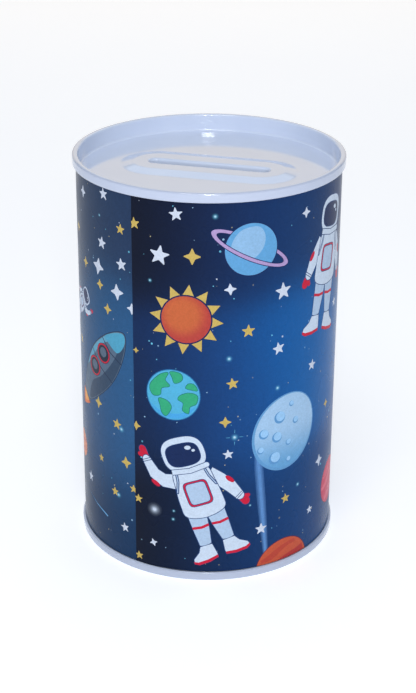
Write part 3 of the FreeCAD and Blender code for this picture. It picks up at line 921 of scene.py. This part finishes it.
# Stars: degrees, height, radius, tilt.
WHITE_FIVES = (
    (-13.3, 146.6, 2.5, 8), (-20.3, 130.9, 3.7, -8), (32.7, 115.7, 3.3, 4), (31.1, 93.6, 2.5, 10),
    (8.9, 53.6, 2, 6), (24.4, 19.9, 2.4, 0), (51.2, 82, 2.2, -10), (53.2, 19.6, 1.8, 0),
    (311, 148.6, 2.2, 6), (309.2, 129.8, 2.4, -6), (321.1, 124.2, 2.4, 8), (320.6, 16.1, 2, 12),
    (293.5, 28.4, 2.2, 4), (72, 101, 2, 0), (96, 74, 3.1, 12), (118, 22, 2.3, -6), (140, 138, 3.3, 0),
    (171, 96, 2.3, 10), (188, 20, 2.9, -8), (222, 143, 2.4, 4), (240, 88, 3.1, -12), (262, 22, 2.4, 8),
    (276, 141, 2.2, 0),
)
WHITE_FOURS = (
    (44.1, 143.2, 2, 0), (9, 119.1, 2.2, 4), (306.2, 120, 3.3, -8), (318.4, 113, 3.1, 6),
    (-24, 13.9, 1.6, 20), (293.2, 145.2, 2.3, 0), (326.4, 108.2, 2.2, 0), (60.3, 38.5, 2.6, 0),
    (104, 118, 2.4, 0), (134, 52, 2.9, 10), (196, 134, 2.6, 0), (232, 44, 2.3, 8), (270, 66, 2.4, 0),
)
GOLD_FIVES = (
    (-31.6, 141.2, 2.2, 6), (320.9, 137.5, 2, -4), (16.9, 102.5, 2.5, 0), (10.4, 82.3, 2.3, 8),
    (36.8, 30.1, 2, 4), (316.8, 59.4, 2.2, -6), (314.8, 30, 1.9, 6), (325.9, 34.4, 1.8, 0),
    (-31.4, 31.3, 1.8, 0), (-31.4, 6.4, 1.8, 6), (305, 41.1, 1.7, 8), (88, 138, 2.3, 6), (112, 92, 2, 0),
    (150, 24, 2.4, 8), (166, 128, 2, -8), (214, 72, 2.4, 4), (248, 120, 2.2, 0), (284, 84, 2, 10),
)
GOLD_FOURS = (
    (-6.6, 131.4, 3, 0), (7.5, 66.9, 2.2, 0), (307.2, 113.2, 2, 6), (312.3, 104.9, 2.1, 0),
    (303.6, 64.2, 2.4, 0), (322, 44.7, 2.4, 8), (284.1, 129.4, 2.2, 0), (294.2, 118.3, 2.1, 0),
    (65.6, 61.1, 1.8, 0), (-32, 62, 1.9, 0), (-31.6, 92.6, 1.2, 0), (124, 142, 2.3, 0), (92, 30, 2.2, 6),
    (182, 56, 2.3, 0), (258, 142, 2, 0), (226, 12, 1.9, 4),
)
# Soft spots of light: degrees, height, radius.
GLOWS = (
    (2.6, 146.3, 1.7), (8.8, 92.3, 1.8), (31, 77.8, 1.7), (-14.9, 25.4, 1.2), (-14.6, 29, 1),
    (44, 34, 1.5), (-24.5, 121, 1.2), (19, 31, 0.9), (319.5, 58, 2), (317, 29.2, 2), (308, 140, 1),
    (100, 104, 1.8), (146, 84, 2), (204, 104, 1.8), (236, 66, 1.8),
)


def scatter_dust(picture):
    """Small far stars over the whole sheet."""
    random.seed(11)
    for _ in range(DUST_COUNT):
        x, y = flat(random.uniform(WRAP_START, WRAP_END), random.uniform(FOOT, HEAD))
        radius = random.choice((0.16, 0.2, 0.24, 0.3, 0.42))
        colour = random.choice((CYAN, WHITE, paint(150, 190, 220), paint(190, 180, 140)))
        picture.shape(disc(x, y, radius, 7), mix(sky(x, y), colour, random.uniform(0.3, 0.95)))


def draw_stars(picture):
    for degrees, height, radius in GLOWS:
        glow(picture, *flat(degrees, height), radius * 0.85, CYAN)
    glow(picture, *flat(-23.4, 28.4), 3.2, paint(190, 205, 225))
    flare(picture, *flat(11.6, 60.5), 2.6, CYAN)
    flare(picture, *flat(160.0, 66.0), 2.6, CYAN)
    groups = ((WHITE_FIVES, 5, WHITE), (WHITE_FOURS, 4, WHITE), (GOLD_FIVES, 5, GOLD), (GOLD_FOURS, 4, GOLD))
    for stars, points, colour in groups:
        for degrees, height, radius, tilt in stars:
            picture.shape(star(*flat(degrees, height), radius, points, tilt), colour)


def painted_crease_highlight(picture):
    """A painted highlight along the film's crease: a pale streak standing in for the light that the crease
    catches.
    """
    places = [flat(crease_middle(height), height) for height in (CREASE_TOP, 46.0, 32.0, 18.0, 5.0)]
    crease_highlight_paint = paint(112, 164, 226)
    for width, share in ((3.6, 0.2), (2.4, 0.4), (1.2, 0.6)):
        line = limb(places, (width * 0.5, width, width, width * 0.8, width * 0.5))
        picture.shape(line, lambda x, y, share=share: mix(sky(x, y), crease_highlight_paint, share))


# Motifs: what draws each one, its degrees and height, and the rest that it is told.
# The part of the picture round its middle.
FRONT = (
    (ringed_planet, 17.8, 133.5, 9.7, -27, paint(94, 156, 204), paint(138, 178, 214),
     paint(170, 146, 192)),
    (sun, -9.2, 107.4, 9),
    (globe, -14.8, 77.3, 9.9),
    (moon, 36.2, 58.8, 14.4, 15.9, -22),
    (hot_planet, 36.6, 0.2, 12.4, paint(192, 84, 58), paint(166, 42, 50)),
    (hot_planet, 75, 24.2, 9.5, paint(200, 44, 84), paint(226, 104, 124)),
    (standing_suit, 61.4, 121.2, 0.97, -9.5),
    (waving_suit, -3.4, 36.7, 1, 19),
)
# The part to the left of the lapped edge.
LEFT = (
    (rocket, 306.2, 80, 22, -38),
    (waving_suit, 286.5, 99.9, 0.42, -54, 1),
    (hot_planet, 281.5, 38.5, 5.6, paint(222, 130, 84), paint(190, 80, 70)),
    (shooting_star, 309, 17, 16, -14, paint(110, 170, 220)),
)
# The part that faces away from the viewer.
BACK = (
    (rocket, 118, 62, 24, 24),
    (ringed_planet, 156, 112, 9, 20, paint(226, 140, 92), paint(240, 184, 130),
     paint(214, 196, 150)),
    (moon, 186, 74, 11, 12.4, 18),
    (globe, 212, 40, 9),
    (standing_suit, 150, 42, 0.82, -16),
    (sun, 232, 112, 8),
    (ringed_planet, 256, 46, 8.4, -18, paint(120, 196, 190), paint(170, 224, 214),
     paint(190, 150, 206)),
    (hot_planet, 102, 136, 7, paint(214, 84, 70), paint(238, 160, 90)),
    (shooting_star, 186, 116, 14, 24, paint(150, 200, 230)),
    (shooting_star, 270, 100, 12, -30, paint(150, 200, 230)),
)


def draw_motifs(picture):
    for draw, degrees, height, *rest in BACK + LEFT + FRONT:
        draw(picture, *flat(degrees, height), *rest)


# ---- the wrap ----

def layer_rise(degrees):
    """How far the sheet stands out where it laps over its own first edge, in millimetres."""
    lap_end = WRAP_START + LAP_DEGREES + LAP_CLEAR
    return LAP_RISE * (1.0 - smooth_step(degrees, lap_end, lap_end + JOGGLE_DEGREES))


def looseness(degrees, height):
    """Soft bulges and one crease where the film hasn't gone down flat, in millimetres."""
    inside = smooth_step(height, FOOT, FOOT + 8.0) * (1.0 - smooth_step(height, HEAD - 8.0, HEAD))
    soft = noise.noise(Vector((degrees * 0.09, height * 0.018, 1.5))) * 0.05 + 0.05
    along = smooth_step(height, 4.0, 16.0) * (1.0 - smooth_step(height, 50.0, 62.0))
    crease = math.exp(-((degrees - crease_middle(height)) / 1.3) ** 2) * along * 0.1
    return inside * soft + crease


def on_tin(degrees, height, inner=False):
    """The place in the scene of a point on the sheet's outer or inner face."""
    turn = radians(PICTURE_AZIMUTH + degrees)
    out = WRAP_RADIUS / MM + layer_rise(degrees) + looseness(degrees, height)
    if inner:
        out -= WRAP_THICKNESS
    return Vector((sin(turn) * out * MM, -cos(turn) * out * MM, height * MM))


def facing(degrees, height):
    """Which way the sheet's outer face looks at a place."""
    reach = 0.2
    across = on_tin(degrees + reach, height) - on_tin(degrees - reach, height)
    up = on_tin(degrees, height + reach) - on_tin(degrees, height - reach)
    return across.cross(up).normalized()


def lay_out(picture):
    """Cuts the wrap into triangles along every drawn edge: flat points, then triangles with ink numbers."""
    left = WRAP_START * MM_PER_DEGREE
    right = WRAP_END * MM_PER_DEGREE
    points = []
    faces = []
    columns, rows = 200, 84
    border = [(left + (right - left) * n / columns, FOOT) for n in range(columns)]
    border += [(right, FOOT + (HEAD - FOOT) * n / rows) for n in range(rows)]
    border += [(right - (right - left) * n / columns, HEAD) for n in range(columns)]
    border += [(left, HEAD - (HEAD - FOOT) * n / rows) for n in range(rows)]
    for outline in [border] + picture.outlines:
        faces.append(list(range(len(points), len(points) + len(outline))))
        points.extend(outline)
    for column in range(1, columns):
        for row in range(1, rows):
            shift = 0.5 if row % 2 else 0.0
            points.append((left + (right - left) * (column + shift - 0.25) / columns,
                           FOOT + (HEAD - FOOT) * row / rows))
    cut = delaunay_2d_cdt([Vector(point) for point in points], [], faces, 1, 1e-5, True)
    places, triangles, owners = cut[0], cut[2], cut[5]
    kept = [(face, max(owner) - 1) for face, owner in zip(triangles, owners) if 0 in owner]
    return places, kept


def make_wrap(material):
    """The printed sheet as one thin closed solid whose outer face carries the inks."""
    picture = Picture()
    scatter_dust(picture)
    # Painted highlight along the film's crease.
    painted_crease_highlight(picture)
    draw_stars(picture)
    draw_motifs(picture)
    places, kept = lay_out(picture)
    used = sorted({index for face, ink in kept for index in face})
    number = {index: place for place, index in enumerate(used)}
    flat_points = [places[index] for index in used]
    count = len(flat_points)
    points = []
    for inner in (False, True):
        points += [on_tin(place.x / MM_PER_DEGREE, place.y, inner) for place in flat_points]
    outer_faces = [tuple(number[index] for index in face) for face, ink in kept]
    inner_faces = [tuple(index + count for index in face[::-1]) for face in outer_faces]
    edges = dict.fromkeys(edge for face in outer_faces for edge in zip(face, face[1:] + face[:1]))
    rim_faces = [(second, first, first + count, second + count)
                 for first, second in edges if (second, first) not in edges]
    wrap = new_object("picture_wrap", points, outer_faces + inner_faces + rim_faces, material)
    inks = wrap.data.color_attributes.new("ink", "FLOAT_COLOR", "CORNER")
    shades = []
    for face, (triangle, ink) in zip(outer_faces, kept):
        for index in face:
            x, y = flat_points[index]
            source = sky if ink < 0 else picture.inks[ink]
            colour = source(x, y) if callable(source) else source
            shades.extend((*colour, 1.0))
    plain_corners = len(inner_faces) * 3 + len(rim_faces) * 4
    shades.extend((*PAPER, 1.0) * plain_corners)
    inks.data.foreach_set("color", shades)
    outward = [facing(place.x / MM_PER_DEGREE, place.y) for place in flat_points]
    normals = [outward[index] for face in outer_faces for index in face]
    normals += [-outward[index - count] for face in inner_faces for index in face]
    for polygon in wrap.data.polygons[len(outer_faces) + len(inner_faces):]:
        normals += [polygon.normal.copy()] * 4
    wrap.data.normals_split_custom_set(normals)
    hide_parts("printed_wrap")
    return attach(wrap, "root")


# ---- floor, lights and camera ----

def make_floor():
    made = Nodes("pale_floor")
    drift = made.noise(6.0, 3.0, 0.5)
    colour = made.blend(drift, paint(243, 243, 244), paint(247, 247, 247))
    made.set(base_color=colour, roughness=0.8, normal=made.bump(made.noise(900.0), 0.02, 0.05 * MM),
             emission_color=(0.92, 0.95, 1.0), emission_strength=0.4)
    reach = 12.0
    floor = new_object("floor", [(-reach, -reach, 0.0), (reach, -reach, 0.0), (reach, reach, 0.0),
                                 (-reach, reach, 0.0)], [(0, 1, 2, 3)], made.material)


def add_light(name, azimuth, elevation, distance, size, power, colour):
    """A soft box aimed at the middle of the tin."""
    data = bpy.data.lights.new(name, "AREA")
    data.shape = "RECTANGLE"
    data.size, data.size_y = size
    data.energy = power
    data.color = colour
    light = bpy.data.objects.new(name, data)
    direction = direction_to(azimuth, elevation)
    light.location = Vector((0.0, 0.0, CAN_HEIGHT / 2.0)) + direction * distance
    light.rotation_mode = "QUATERNION"
    light.rotation_quaternion = (-direction).to_track_quat("-Z", "Y")
    bpy.context.scene.collection.objects.link(light)


def make_lights():
    add_light("key_above", -8.0, 58.0, 1.1, (0.5, 0.5), 3.5, (0.96, 0.96, 0.96))
    add_light("flash", 1.0, 26.0, 1.2, (0.2, 0.14), 5.0, (0.94, 0.97, 1.0))
    add_light("back_warm", 180.0, 15.0, 1.3, (1.7, 0.5), 2.1, (1.0, 0.78, 0.5))
    add_light("back_cool", 180.0, 37.0, 1.3, (1.4, 0.4), 1.7, (0.8, 0.88, 1.0))
    add_light("left_fill", -75.0, 14.0, 1.2, (0.5, 0.9), 0.6, (0.84, 0.9, 1.0))
    add_light("right_fill", 78.0, 14.0, 1.2, (0.5, 0.9), 0.45, (0.84, 0.9, 1.0))
    world = bpy.data.worlds.new("studio")
    world.use_nodes = True
    sky_light = world.node_tree.nodes["Background"]
    sky_light.inputs["Color"].default_value = (0.84, 0.91, 1.0, 1.0)
    sky_light.inputs["Strength"].default_value = 0.32
    bpy.context.scene.world = world
    bpy.context.scene.view_settings.view_transform = "Standard"


def make_camera():
    """A camera a little above the tin, turned to the middle of the picture."""
    data = bpy.data.cameras.new("camera")
    data.lens = 81.7
    data.sensor_width = 36.0
    elevation, distance, aim, roll = 24.02, 0.6153, 75.3 * MM, 0.33
    back = direction_to(0.0, elevation)
    camera = bpy.data.objects.new("camera", data)
    camera.location = Vector((0.0, 0.0, aim)) + back * distance
    camera.rotation_mode = "QUATERNION"
    level = (-back).to_track_quat("-Z", "Y")
    camera.rotation_quaternion = level @ Quaternion((0.0, 0.0, 1.0), radians(roll))
    bpy.context.scene.collection.objects.link(camera)
    bpy.context.scene.camera = camera


def dress_nodes():
    """Gives each CAD node that still shows its own finish."""
    finishes = {
        "tin_body": tinplate("tinplate"),
        "top_seam_compound": seam_compound("top_compound"),
        "bottom_seam_compound": seam_compound("bottom_compound"),
        "wrap_start_glue": adhesive("start_adhesive"),
        "wrap_overlap_glue": adhesive("overlap_adhesive"),
    }
    for name, material in finishes.items():
        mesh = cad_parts[name].data
        mesh.materials.clear()
        mesh.materials.append(material)


make_camera()
make_lights()
make_floor()
dress_nodes()
# The first colour given to each lacquer is the painted shade on the outside of its seam.
make_lid(white_lacquer("lid_lacquer", paint(187, 196, 218), CAN_HEIGHT, 2.0 * MM))
make_base(white_lacquer("base_lacquer", paint(176, 185, 206), 0.0, 1.5 * MM))
make_wrap(printed_film("printed_film"))
